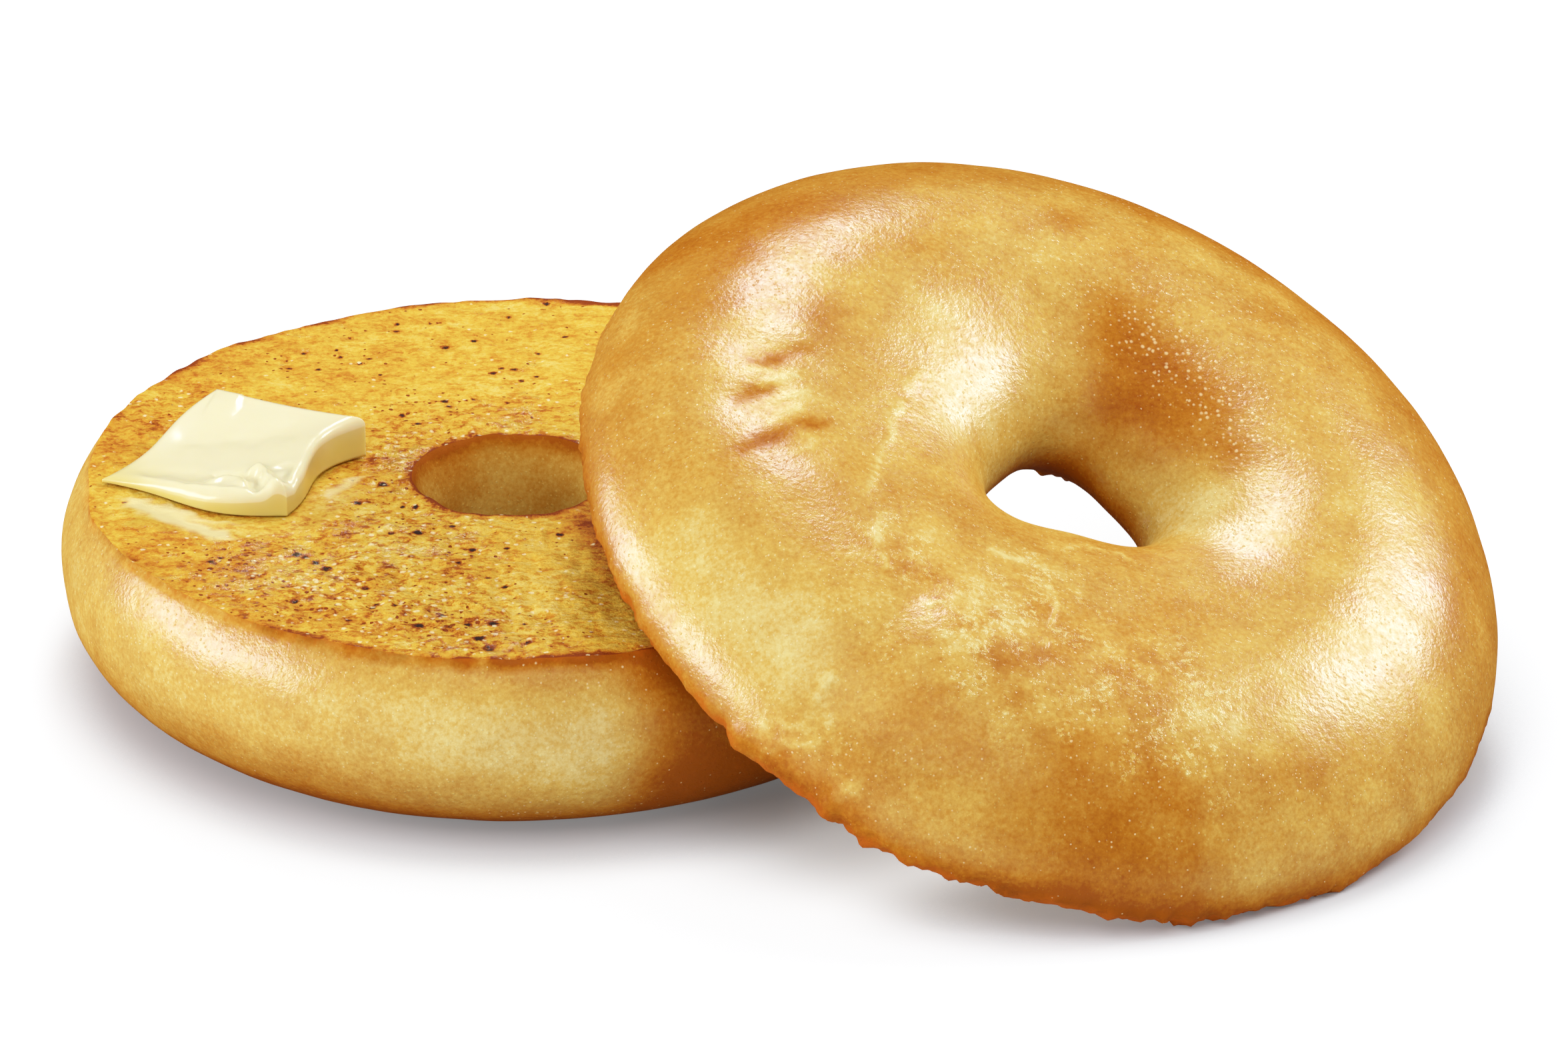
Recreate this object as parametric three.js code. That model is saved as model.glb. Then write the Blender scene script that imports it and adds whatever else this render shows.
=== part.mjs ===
// A plain bagel, cut through and toasted. The lower half lies cut face up with a softened pat of
// butter on it. The upper half leans on it, crust up, with its low edge on the table.
// Millimetres, +Z up. The table is z = 0, and the origin is the middle of the whole footprint.
import * as THREE from "three";

const { PI, cos, sin, hypot, min, max, sqrt, exp } = Math;
const TURN = 2 * PI;
const DEGREES = PI / 180;
const UP = new THREE.Vector3(0, 0, 1);

// ---- the two halves ----
// Each half is drawn lying on its cut face, with heights measured from there towards its crust and
// angles running round its middle from +X. A wave is [lobes, share of the radius, angle of a lobe].
// A swell is a soft patch pushed out or in: [angle, radius, reach round, reach across, height].
const LOWER = {
  cutRadius: 52, // outer edge of the cut face
  bulgeRadius: 55.3, // widest point of the crust
  bulgeHeight: 9,
  crestRadius: 36, // where the side meets the flat underside
  innerCrestRadius: 25, // where the flat underside turns up into the hole
  height: 24.7,
  throatRadius: 9.5, // narrowest point of the hole
  throatHeight: 8,
  holeRadius: 11.9, // edge of the hole in the cut face
  outerPower: 2.3, // 2 is an ellipse, more is squarer
  innerPower: 2,
  holeCentre: [-1, 0.9],
  outline: [[2, 0.0205, -94 * DEGREES], [3, 0.0026, -32 * DEGREES]],
  throat: [],
  holeEdge: [[2, 0.012, -103 * DEGREES]],
  swells: [],
  flare: [0, 10, 0],
  rows: { wall: 3, shoulder: 8, flat: 2, bowl: 7, hole: 3 },
  tornPhase: 1,
};
const UPPER = {
  cutRadius: 52,
  bulgeRadius: 55.5,
  bulgeHeight: 3.2,
  crestRadius: 33,
  innerCrestRadius: 33,
  height: 18.5,
  throatRadius: 8.2,
  throatHeight: 5.3,
  holeRadius: 12.4,
  outerPower: 1.8,
  innerPower: 2.22,
  holeCentre: [1.5, 2.1],
  outline: [[2, 0.0261, -53 * DEGREES], [3, 0.0021, 27 * DEGREES]],
  throat: [[2, 0.12, -11 * DEGREES], [3, 0.15, -27 * DEGREES]],
  holeEdge: [[2, 0.046, -32 * DEGREES]],
  swells: [
    [-122 * DEGREES, 40, 3.5, 13, -0.5], // groove where the rope of dough was joined
    [-108 * DEGREES, 38, 9, 11, 0.4], // the end that lies on top
    [-150 * DEGREES, 30, 7, 5, 0.3], // crinkled skin beside the hole
    [173 * DEGREES, 36, 3, 7, -0.5], // three creases in the shoulder
    [-175 * DEGREES, 38, 3, 5, -0.4],
    [-165 * DEGREES, 33, 3, 5, -0.4],
  ],
  flare: [-107 * DEGREES, 11, 0.9], // crust that tore outwards: [angle, reach round, height]
  rows: { wall: 3, shoulder: 10, flat: 0, bowl: 10, hole: 3 },
  tornPhase: 4,
};
const CREST_FOLLOWS = 0.7; // how much of the outline's wave the crest has
const CORE_RADIUS = 31; // circle in the middle of the dough, from which swells push outwards

// ---- the torn edge of both cut faces ----
const TORN_HEIGHT = 0.3; // how far crumbs stand out from it
const TORN_LOBES = [7, 11, 17, 23]; // crumbs round the edge, coarse to fine
const FLARE_TOP = 9; // height at which a flare has died away

// ---- where the halves lie ----
const LOWER_PLACE = [-29.8, 10.3]; // middle of the lower half
const LEAN = 27 * DEGREES; // tilt of the upper half's cut face from level
const LEAN_TOWARDS = -53.4 * DEGREES; // the way in which it runs down to the table
const UPPER_PLACE = [29.9, -13.2]; // middle of the upper half's cut face

// ---- the pat of butter, on the lower half ----
// Corners are [across, away] from the lower half's middle, in the order thin, back, thick, front,
// each with its thickness. Sides follow in the same order, from thin to back and on round. A side
// bows out by its first bow at its middle, and by its second, as an S, a quarter of the way along.
const BUTTER = {
  corners: [[-48.9, -3.6], [-36.2, 13.4], [-18.3, 4.1], [-26.8, -13.6]],
  thickness: [0.6, 5.2, 5.3, 3.5],
  bows: [[-0.2, -0.6], [-0.5, 0], [-1.8, -0.8], [2, 0.9]],
  side: 22, // length of a side
  sag: 0.7, // dip of the middle
  roundness: 1, // radius of the softened top edges
  gap: 0.3, // air under it
};

// ---- fineness of the meshes ----
const COLUMNS = 96; // round the hole
const CUT_ROWS = 3; // between the two edges of a cut face
const BUTTER_STEPS = 12;

const mix = (a, b, share) => a + (b - a) * share;
const smooth = (x) => x * x * (3 - 2 * x);
const wave = (u, waves) => waves.reduce((sum, [lobes, share, at]) => sum + share * cos(lobes * (u - at)), 1);

// Uneven height of the torn edge at angle u, between about -1 and 1, as a sum of sine waves.
function torn(u, phase) {
  return TORN_LOBES.reduce((sum, lobes, i) => sum + sin(lobes * u + phase * (i + 1)) / (2 + i), 0);
}

// A point of the crust at angle u. Its parts, wall, shoulder, flat, bowl and hole, follow each other
// from the outer edge of the cut face to the inner one, and share runs from 0 to 1 along each.
// Rings near the hole are centred on the hole, and outer rings on the half.
function crustPoint(half, part, share, u) {
  const outline = wave(u, half.outline);
  const bulge = half.bulgeRadius * outline;
  const throat = half.throatRadius * wave(u, half.throat);
  const crestShare = mix(1, outline, CREST_FOLLOWS);
  const crest = half.crestRadius * crestShare;
  const innerCrest = half.innerCrestRadius * crestShare;
  const turn = (share * PI) / 2;
  let radius = mix(half.cutRadius * outline, bulge, 1 - (1 - share) ** 2);
  let height = half.bulgeHeight * share;
  let offset = 0;
  if (part === "shoulder") {
    radius = mix(crest, bulge, max(0, cos(turn)) ** (2 / half.outerPower));
    height = mix(half.bulgeHeight, half.height, sin(turn) ** (2 / half.outerPower));
  } else if (part === "flat") {
    radius = mix(crest, innerCrest, share);
    height = half.height;
  } else if (part === "bowl") {
    const fall = sin(turn) ** (2 / half.innerPower);
    radius = mix(innerCrest, throat, fall);
    height = mix(half.throatHeight, half.height, max(0, cos(turn)) ** (2 / half.innerPower));
    offset = smooth(fall);
  } else if (part === "hole") {
    radius = mix(throat, half.holeRadius * wave(u, half.holeEdge), share * share);
    height = half.throatHeight * (1 - share);
    offset = 1;
  }
  const [x, y] = half.holeCentre;
  return new THREE.Vector3(radius * cos(u) + x * offset, radius * sin(u) + y * offset, height);
}

// How far round a circle a point lies from an angle.
function aside(point, angle, radius) {
  const turns = (Math.atan2(point.y, point.x) - angle) / TURN;
  return radius * TURN * (turns - Math.round(turns));
}

// Pushes a crust point out of the dough by the half's swells, and sideways by its flare.
function swellPoint(half, point) {
  const radius = hypot(point.x, point.y);
  let push = 0;
  for (const [angle, centre, round, across, height] of half.swells)
    push += height * exp(-((aside(point, angle, centre) / round) ** 2) - ((radius - centre) / across) ** 2);
  push *= smooth(min(1, point.z / half.bulgeHeight)); // the cut face stays flat
  const [angle, round, height] = half.flare;
  const low = smooth(max(0, 1 - point.z / FLARE_TOP)) * (radius > CORE_RADIUS);
  const spread = height * low * exp(-((aside(point, angle, radius) / round) ** 2));
  const [out, up] = [radius - CORE_RADIUS, point.z];
  const grow = 1 + ((push * out) / hypot(out, up) + spread) / radius;
  point.set(point.x * grow, point.y * grow, point.z + (push * up) / hypot(out, up));
}

// The closed outline of a half at angle u, as a list of points.
function section(half, u) {
  const crust = Object.entries(half.rows).flatMap(([part, steps]) =>
    Array.from({ length: steps }, (_, i) => crustPoint(half, part, i / steps, u)),
  );
  crust.forEach((point) => swellPoint(half, point));
  const outer = crust[0];
  outer.multiplyScalar(1 + (TORN_HEIGHT * torn(u, half.tornPhase)) / half.cutRadius);
  const inner = crustPoint(half, "hole", 1, u);
  const cut = Array.from({ length: CUT_ROWS }, (_, i) => inner.clone().lerp(outer, (i + 1) / (CUT_ROWS + 1)));
  return [...crust, inner, ...cut];
}

function surface(positions, faces) {
  const geometry = new THREE.BufferGeometry();
  geometry.setAttribute("position", new THREE.Float32BufferAttribute(positions, 3));
  geometry.setIndex(faces);
  geometry.computeVertexNormals();
  return geometry;
}

// A half of the bagel: sections all the way round, each joined to the next.
function halfGeometry(half) {
  const sections = Array.from({ length: COLUMNS }, (_, i) => section(half, (TURN * i) / COLUMNS));
  const rows = sections[0].length;
  const faces = [];
  for (let i = 0; i < COLUMNS; i++) {
    const next = (i + 1) % COLUMNS;
    for (let j = 0; j < rows; j++) {
      const after = (j + 1) % rows;
      const [a, b, c, d] = [i * rows + j, next * rows + j, next * rows + after, i * rows + after];
      faces.push(a, b, c, a, c, d);
    }
  }
  return surface(sections.flat().flatMap((point) => point.toArray()), faces);
}

// Plan of the pat: a runs from the thin-front side to the back-thick side, and b from the
// thin-back side to the front-thick side. Each bowed side carries the plan out with it.
function butterPlan(a, b) {
  const corners = BUTTER.corners.map(([x, y]) => new THREE.Vector2(x, y));
  const [thin, back, thick, front] = corners;
  const plan = thin.clone().lerp(back, a).lerp(front.clone().lerp(thick, a), b);
  const alongSide = [a, b, 1 - a, 1 - b];
  const nearSide = [1 - b, a, b, 1 - a];
  BUTTER.bows.forEach(([middle, quarter], i) => {
    const side = corners[(i + 1) % 4].clone().sub(corners[i]).normalize();
    const outwards = new THREE.Vector2(-side.y, side.x);
    const bow = middle * sin(PI * alongSide[i]) + quarter * sin(TURN * alongSide[i]);
    plan.addScaledVector(outwards, bow * nearSide[i]);
  });
  return plan;
}

function butterTop(a, b) {
  const [thin, back, thick, front] = BUTTER.thickness;
  const slope = mix(mix(thin, back, a), mix(front, thick, a), b);
  const full = slope - BUTTER.sag * 16 * a * (1 - a) * b * (1 - b);
  const inwards = min(1, (min(a, 1 - a, b, 1 - b) * BUTTER.side) / BUTTER.roundness);
  return full - min(BUTTER.roundness, full / 2) * (1 - sqrt(1 - (1 - inwards) ** 2));
}

// The pat: an underside and a top, one above the other, and walls between their rims.
function butterGeometry() {
  const steps = BUTTER_STEPS;
  const positions = [];
  const sheet = (heightAt) => {
    const first = positions.length / 3;
    for (let i = 0; i <= steps; i++)
      for (let j = 0; j <= steps; j++) {
        const [a, b] = [i / steps, j / steps];
        const { x, y } = butterPlan(a, b);
        positions.push(x, y, heightAt(a, b));
      }
    return (i, j) => first + i * (steps + 1) + j;
  };
  const under = sheet(() => 0);
  const top = sheet(butterTop);
  const faces = [];
  const quad = (a, b, c, d) => faces.push(a, b, c, a, c, d);
  for (let i = 0; i < steps; i++) {
    for (let j = 0; j < steps; j++) {
      quad(under(i, j), under(i + 1, j), under(i + 1, j + 1), under(i, j + 1));
      quad(top(i, j), top(i, j + 1), top(i + 1, j + 1), top(i + 1, j));
    }
    quad(under(i + 1, 0), under(i, 0), top(i, 0), top(i + 1, 0));
    quad(under(i, steps), under(i + 1, steps), top(i + 1, steps), top(i, steps));
    quad(under(0, i), under(0, i + 1), top(0, i + 1), top(0, i));
    quad(under(steps, i + 1), under(steps, i), top(steps, i), top(steps, i + 1));
  }
  return surface(positions, faces);
}

// ---- assembly ----
function piece(name, geometry, color, roughness) {
  const mesh = new THREE.Mesh(geometry, new THREE.MeshStandardMaterial({ color, roughness, metalness: 0 }));
  mesh.name = name;
  return mesh;
}

// The lower half is turned over, so that its cut face is up.
const lower = piece("lower_half", halfGeometry(LOWER), 0xdcab56, 0.45);
lower.rotation.x = PI;
lower.position.set(...LOWER_PLACE, LOWER.height);

const butter = piece("butter_pat", butterGeometry(), 0xf1e7ab, 0.25);
butter.position.set(...LOWER_PLACE, LOWER.height + BUTTER.gap);

// The upper half tips over its low edge and is then lifted until that edge is on the table.
const upper = piece("upper_half", halfGeometry(UPPER), 0xdca64a, 0.4);
const downhill = new THREE.Vector3(cos(LEAN_TOWARDS), sin(LEAN_TOWARDS), 0);
const normal = downhill.multiplyScalar(sin(LEAN)).addScaledVector(UP, cos(LEAN));
upper.quaternion.setFromUnitVectors(UP, normal);
upper.position.set(...UPPER_PLACE, 0);
upper.position.z = -new THREE.Box3().setFromObject(upper, true).min.z;

const bagel = new THREE.Group();
bagel.add(lower, butter, upper);

export default bagel;
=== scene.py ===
"""A plain bagel, cut through, toasted and buttered: the looks of its two halves and its butter.

Shapes are worked out in millimetres, in the same terms as the part's source, and put into meshes
in metres. Each half is first drawn lying on its cut face, with heights towards its crust.
"""
import itertools

import bpy
import numpy as np
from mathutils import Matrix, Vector


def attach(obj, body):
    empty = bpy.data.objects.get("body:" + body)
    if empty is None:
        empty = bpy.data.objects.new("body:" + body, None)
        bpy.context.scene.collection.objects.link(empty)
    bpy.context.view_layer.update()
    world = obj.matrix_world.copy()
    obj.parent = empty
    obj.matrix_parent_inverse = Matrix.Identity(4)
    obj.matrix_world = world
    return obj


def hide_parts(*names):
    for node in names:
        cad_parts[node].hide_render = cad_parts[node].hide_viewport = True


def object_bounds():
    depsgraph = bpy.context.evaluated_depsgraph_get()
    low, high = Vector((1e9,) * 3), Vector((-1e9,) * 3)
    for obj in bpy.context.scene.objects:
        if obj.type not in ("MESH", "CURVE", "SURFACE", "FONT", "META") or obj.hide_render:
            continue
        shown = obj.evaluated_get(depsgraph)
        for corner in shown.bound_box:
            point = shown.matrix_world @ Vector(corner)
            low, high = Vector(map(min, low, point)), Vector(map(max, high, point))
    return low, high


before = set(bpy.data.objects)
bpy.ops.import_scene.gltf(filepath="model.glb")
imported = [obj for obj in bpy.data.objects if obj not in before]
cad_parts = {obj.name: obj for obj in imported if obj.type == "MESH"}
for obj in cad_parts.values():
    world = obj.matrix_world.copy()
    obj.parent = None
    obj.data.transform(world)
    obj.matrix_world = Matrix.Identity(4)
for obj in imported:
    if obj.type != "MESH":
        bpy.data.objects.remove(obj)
cad_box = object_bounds()

MM = 0.001
TURN = 2 * np.pi

# ---- the two halves, as in the part's source ----
# A wave is (lobes, share of the radius, angle of a lobe in degrees). A swell is a soft patch pushed
# out or in: (angle, radius, reach round, reach across, height).
LOWER = {
    "cut_radius": 52,
    "bulge_radius": 55.3,
    "bulge_height": 9,
    "crest_radius": 36,
    "inner_crest_radius": 25,
    "height": 24.7,
    "throat_radius": 9.5,
    "throat_height": 8,
    "hole_radius": 11.9,
    "outer_power": 2.3,
    "inner_power": 2,
    "hole_centre": (-1, 0.9),
    "outline": [(2, 0.0205, -94), (3, 0.0026, -32)],
    "throat": [],
    "hole_edge": [(2, 0.012, -103)],
    "swells": [],
    "flare": (0, 10, 0),
    "rows": {"wall": 10, "shoulder": 31, "flat": 4, "bowl": 14, "hole": 8},
    "cut_rows": 88,
    "torn_phase": 1,
}
UPPER = {
    "cut_radius": 52,
    "bulge_radius": 55.5,
    "bulge_height": 3.2,
    "crest_radius": 33,
    "inner_crest_radius": 33,
    "height": 18.5,
    "throat_radius": 8.2,
    "throat_height": 5.3,
    "hole_radius": 12.4,
    "outer_power": 1.8,
    "inner_power": 2.22,
    "hole_centre": (1.5, 2.1),
    "outline": [(2, 0.0261, -53), (3, 0.0021, 27)],
    "throat": [(2, 0.12, -11), (3, 0.15, -27)],
    "hole_edge": [(2, 0.046, -32)],
    "swells": [
        (-122, 40, 3.5, 13, -0.5),
        (-108, 38, 9, 11, 0.4),
        (-150, 30, 7, 5, 0.3),
        (173, 36, 3, 7, -0.5),
        (-175, 38, 3, 5, -0.4),
        (-165, 33, 3, 5, -0.4),
        (92, 22, 16, 8, -1.3),
        (3, 19, 13, 7, -0.8),
    ],
    "flare": (-107, 11, 0.9),
    "rows": {"wall": 6, "shoulder": 48, "flat": 0, "bowl": 48, "hole": 9},
    "cut_rows": 43,
    "torn_phase": 4,
}
COLUMNS = 640  # round the hole
CREST_FOLLOWS = 0.7
CORE_RADIUS = 31
TORN_HEIGHT = 0.3
TORN_LOBES = (7, 11, 17, 23)
FLARE_TOP = 9
ARC_SAMPLES = 400  # along a part of the crust, to measure its length
ARC_ANGLE = 0.7  # where it is measured, in radians

LOWER_PLACE = np.array([-29.8, 10.3, 0])
LEAN = np.radians(27)
LEAN_TOWARDS = np.radians(-53.4)
UPPER_PLACE = np.array([29.9, -13.2, 24.165])

# ---- camera ----
AIM = Vector((1.18, 10.3, 18.2)) * MM
CAMERA_PITCH = 0.41382  # downwards, in radians
CAMERA_DISTANCE = 1.2375
LENS = 241.35
SENSOR = 36
CLIP = (0.05, 20)


# ---- numbers over whole arrays ----
def mix(a, b, share):
    """From a to b by a share."""
    return a + (b - a) * share


def smooth(x):
    """Runs from 0 to 1 with level ends: x squared times (3 less 2 x), with x held between 0 and 1."""
    x = np.clip(x, 0, 1)
    return x * x * (3 - 2 * x)


def ramp(x, start, end):
    """Runs from 0 at the start to 1 at the end, with level ends."""
    return smooth((x - start) / (end - start))


def lattice(cells, seed):
    """A random value between -1 and 1 for each whole-number cell: its three numbers are each
    multiplied by a large odd number and joined bit by bit with the seed, and the bits are stirred."""
    cells = cells.astype(np.int64)
    bits = cells[..., 0] * 73856093 ^ cells[..., 1] * 19349663 ^ cells[..., 2] * 83492791
    bits = (bits ^ seed * 2654435761) & 0xFFFFFFFF
    bits = ((bits ^ bits >> 15) * 2246822519) & 0xFFFFFFFF
    bits = ((bits ^ bits >> 13) * 3266489917) & 0xFFFFFFFF
    return (bits ^ bits >> 16) / 2**31 - 1


LATTICE_TURN = np.array([[0.36, 0.48, -0.8], [-0.8, 0.6, 0], [0.48, 0.64, 0.6]])


def soft_noise(points, size, seed):
    """Smooth random hills about `size` across, between -1 and 1: random values on a turned lattice,
    blended between its corners with the smooth step. The seed picks the pattern."""
    at = points @ LATTICE_TURN / size
    cell = np.floor(at)
    inside = smooth(at - cell)
    hills = 0
    for corner in itertools.product((0, 1), repeat=3):
        weight = np.prod(np.where(corner, inside, 1 - inside), axis=-1)
        hills = hills + weight * lattice(cell + corner, seed)
    return hills


def layered_noise(points, *layers):
    """The sum of soft noises, each (amount, size, seed)."""
    return sum(amount * soft_noise(points, size, seed) for amount, size, seed in layers)


def path_gap(points, path):
    """Distance of each point from a path seen in plan, and how far along the path the nearest place
    is, from 0 to 1: the least distance to any of the straight pieces between the path's points."""
    path = np.asarray(path, float)
    steps = np.linalg.norm(np.diff(path, axis=0), axis=1)
    start = np.concatenate([[0], np.cumsum(steps)])
    best = np.full(points.shape[:-1], np.inf)
    along = np.zeros(points.shape[:-1])
    for i, length in enumerate(steps):
        piece = (path[i + 1] - path[i]) / length
        run = np.clip((points[..., :2] - path[i]) @ piece, 0, length)
        gap = np.linalg.norm(points[..., :2] - path[i] - run[..., None] * piece, axis=-1)
        nearer = gap < best
        best = np.where(nearer, gap, best)
        along = np.where(nearer, (start[i] + run) / start[-1], along)
    return best, along


def spots(points, places):
    """A sum of soft round spots in plan, each (x, y, reach, amount): the amount times the bell curve
    of the distance over the reach."""
    result = np.zeros(points.shape[:-1])
    for x, y, reach, amount in places:
        gap = (points[..., 0] - x) ** 2 + (points[..., 1] - y) ** 2
        result += amount * np.exp(-gap / reach**2)
    return result


# ---- shape of a half ----
def wave(u, waves):
    """1 plus, for each wave, its share times the cosine of its lobes times the angle from its lobe."""
    return 1 + sum(share * np.cos(lobes * (u - np.radians(at))) for lobes, share, at in waves)


def torn(u, phase):
    """Uneven torn edge between about -1 and 1: a sum of sine waves round the half."""
    return sum(np.sin(lobes * u + phase * (i + 1)) / (2 + i) for i, lobes in enumerate(TORN_LOBES))


def crust_part(half, part, share, u):
    """Points of one part of the crust at angle u, with share from 0 to 1 along it. The wall is a
    parabola out to the bulge, the shoulder and bowl are quarters of superellipses, the flat is
    level, and the hole is a parabola from the throat to the cut face."""
    outline = wave(u, half["outline"])
    bulge = half["bulge_radius"] * outline
    throat = half["throat_radius"] * wave(u, half["throat"])
    crest_share = mix(1, outline, CREST_FOLLOWS)
    crest = half["crest_radius"] * crest_share
    inner_crest = half["inner_crest_radius"] * crest_share
    turn = share * np.pi / 2
    rise, fall = np.sin(turn), np.maximum(0, np.cos(turn))
    offset = 0
    if part == "wall":
        radius = mix(half["cut_radius"] * outline, bulge, 1 - (1 - share) ** 2)
        height = half["bulge_height"] * share
    elif part == "shoulder":
        power = 2 / half["outer_power"]
        radius = mix(crest, bulge, fall**power)
        height = mix(half["bulge_height"], half["height"], rise**power)
    elif part == "flat":
        radius = mix(crest, inner_crest, share)
        height = half["height"]
    elif part == "bowl":
        power = 2 / half["inner_power"]
        radius = mix(inner_crest, throat, rise**power)
        height = mix(half["throat_height"], half["height"], fall**power)
        offset = smooth(rise**power)
    else:
        radius = mix(throat, half["hole_radius"] * wave(u, half["hole_edge"]), share**2)
        height = half["throat_height"] * (1 - share)
        offset = 1
    x, y = half["hole_centre"]
    place = (radius * np.cos(u) + x * offset, radius * np.sin(u) + y * offset, height)
    return np.stack(np.broadcast_arrays(*place), -1)


def even_shares(half, part, steps):
    """Shares that cut a part of the crust into steps of equal length, measured at one angle."""
    dense = np.linspace(0, 1, ARC_SAMPLES)
    line = crust_part(half, part, dense, ARC_ANGLE)
    length = np.concatenate([[0], np.cumsum(np.linalg.norm(np.diff(line, axis=0), axis=1))])
    return np.interp(np.arange(steps) / steps * length[-1], length, dense)


def swell(half, points):
    """Moves crust points out of the dough's core by the half's swells, which are bell curves round
    and across, and spreads the low wall by its flare."""
    x, y, z = np.moveaxis(points, -1, 0)
    radius = np.hypot(x, y)
    angle = np.arctan2(y, x)

    def aside(at, about):
        turns = (angle - np.radians(at)) / TURN
        return about * TURN * (turns - np.round(turns))

    push = 0 * radius
    for at, centre, round_reach, across, height in half["swells"]:
        push += height * np.exp(-((aside(at, centre) / round_reach) ** 2) - ((radius - centre) / across) ** 2)
    push *= ramp(z, 0, half["bulge_height"])
    at, round_reach, height = half["flare"]
    low = ramp(z, FLARE_TOP, 0) * (radius > CORE_RADIUS)
    spread = height * low * np.exp(-((aside(at, radius) / round_reach) ** 2))
    out = radius - CORE_RADIUS
    grow = 1 + (push * out / np.hypot(out, z) + spread) / radius
    return np.stack([x * grow, y * grow, z + push * z / np.hypot(out, z)], -1)


def half_grid(half):
    """The whole closed surface of a half as rows of points: crust rows from the outer edge of the
    cut face to the inner one, then cut-face rows straight back out."""
    u = np.arange(COLUMNS) * TURN / COLUMNS
    parts = [crust_part(half, part, even_shares(half, part, steps)[:, None], u[None, :])
             for part, steps in half["rows"].items()]
    crust = swell(half, np.concatenate(parts))
    crust[0] *= 1 + TORN_HEIGHT * torn(u, half["torn_phase"])[:, None] / half["cut_radius"]
    inner = crust_part(half, "hole", np.ones((1, 1)), u[None, :])
    steps = np.arange(1, half["cut_rows"])[:, None, None] / half["cut_rows"]
    return np.concatenate([crust, inner, mix(inner, crust[:1], steps)])


def outward(grid):
    """Outward directions on a grid that closes both ways: the cross product of the differences
    along its columns and its rows, made one long."""
    across = np.roll(grid, -1, 1) - np.roll(grid, 1, 1)
    down = np.roll(grid, -1, 0) - np.roll(grid, 1, 0)
    normal = np.cross(across, down)
    return normal / np.linalg.norm(normal, axis=-1, keepdims=True)


def crust_share(half, grid):
    """1 on crust rows and 0 on cut-face rows."""
    share = np.zeros(grid.shape[:2])
    share[: sum(half["rows"].values()) + 1] = 1
    return share


def edge_nearness(half, grid, reach, which):
    """1 at the outer (0) or inner (-1) cut edge, falling to 0 at `reach` millimetres from it along
    either face."""
    row = 0 if which == 0 else sum(half["rows"].values())
    gap = np.linalg.norm(grid - grid[row : row + 1], axis=-1)
    return ramp(gap, reach, 0)


# ---- meshes ----
def new_object(name, points, faces, materials, face_material=None, attributes=None):
    """A mesh of whole arrays: points in millimetres, faces as rows of corner numbers."""
    mesh = bpy.data.meshes.new(name)
    mesh.from_pydata((points * MM).tolist(), [], faces.tolist())
    for material in materials:
        mesh.materials.append(material)
    if face_material is not None:
        mesh.polygons.foreach_set("material_index", face_material.astype(np.int32))
    for label, values in (attributes or {}).items():
        layer = mesh.attributes.new(label, "FLOAT", "POINT")
        layer.data.foreach_set("value", values.astype(np.float32).ravel())
    mesh.polygons.foreach_set("use_smooth", np.ones(len(faces), bool))
    mesh.update()
    piece = bpy.data.objects.new(name, mesh)
    bpy.context.scene.collection.objects.link(piece)
    return piece


def closed_faces(rows, columns):
    """Quads of a grid that closes both ways, with their outer side in the outward direction."""
    r, c = np.meshgrid(np.arange(rows), np.arange(columns), indexing="ij")
    below, beside = (r + 1) % rows, (c + 1) % columns
    corners = [r * columns + c, r * columns + beside, below * columns + beside, below * columns + c]
    return np.stack(corners, -1).reshape(-1, 4)


# ---- shader nodes ----
def feed(tree, node, inputs):
    """Sets a node's inputs to values or links them to other sockets."""
    for name, value in inputs.items():
        if isinstance(value, bpy.types.NodeSocket):
            tree.links.new(value, node.inputs[name])
        else:
            node.inputs[name].default_value = value


def add(tree, kind, inputs=None, **settings):
    """A new node with its settings and inputs."""
    node = tree.nodes.new(kind)
    for name, value in settings.items():
        setattr(node, name, value)
    feed(tree, node, inputs or {})
    return node


def calc(tree, operation, a, b):
    return add(tree, "ShaderNodeMath", {0: a, 1: b}, operation=operation).outputs[0]


def times(tree, a, b):
    return calc(tree, "MULTIPLY", a, b)


def total(tree, *parts):
    """The sum of sockets and numbers, where (a, b) stands for a times b."""
    values = [times(tree, *part) if isinstance(part, tuple) else part for part in parts]
    result = values[0]
    for value in values[1:]:
        result = calc(tree, "ADD", result, value)
    return result


def step(tree, value, low, high, to_low=0.0, to_high=1.0):
    """The smooth step of a value between two bounds."""
    inputs = {"Value": value, "From Min": low, "From Max": high, "To Min": to_low, "To Max": to_high}
    return add(tree, "ShaderNodeMapRange", inputs, interpolation_type="SMOOTHSTEP").outputs["Result"]


def blend(tree, share, a, b):
    """From colour a to colour b by a share; a Mix node's colour sockets go by number."""
    return add(tree, "ShaderNodeMix", {0: share, 6: a, 7: b}, data_type="RGBA").outputs[2]


def noise(tree, size, detail=2.0, roughness=0.5, stretch=None):
    """Noise with hills about `size` millimetres across, in the object's own coordinates, less a half
    so that it lies about 0."""
    place = add(tree, "ShaderNodeTexCoord").outputs["Object"]
    if stretch:
        place = add(tree, "ShaderNodeMapping", {"Vector": place, "Scale": stretch}).outputs["Vector"]
    inputs = {"Vector": place, "Scale": 0.5 / (size * MM), "Detail": detail, "Roughness": roughness}
    fac = add(tree, "ShaderNodeTexNoise", inputs).outputs[0]
    return calc(tree, "SUBTRACT", fac, 0.5)


def attribute(tree, name):
    return add(tree, "ShaderNodeAttribute", attribute_name=name).outputs["Fac"]


def bumped(tree, height, depth):
    """The surface's direction, tilted by a height that is `depth` millimetres at 1."""
    inputs = {"Height": height, "Distance": depth * MM, "Strength": 1.0}
    return add(tree, "ShaderNodeBump", inputs).outputs["Normal"]


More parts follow.
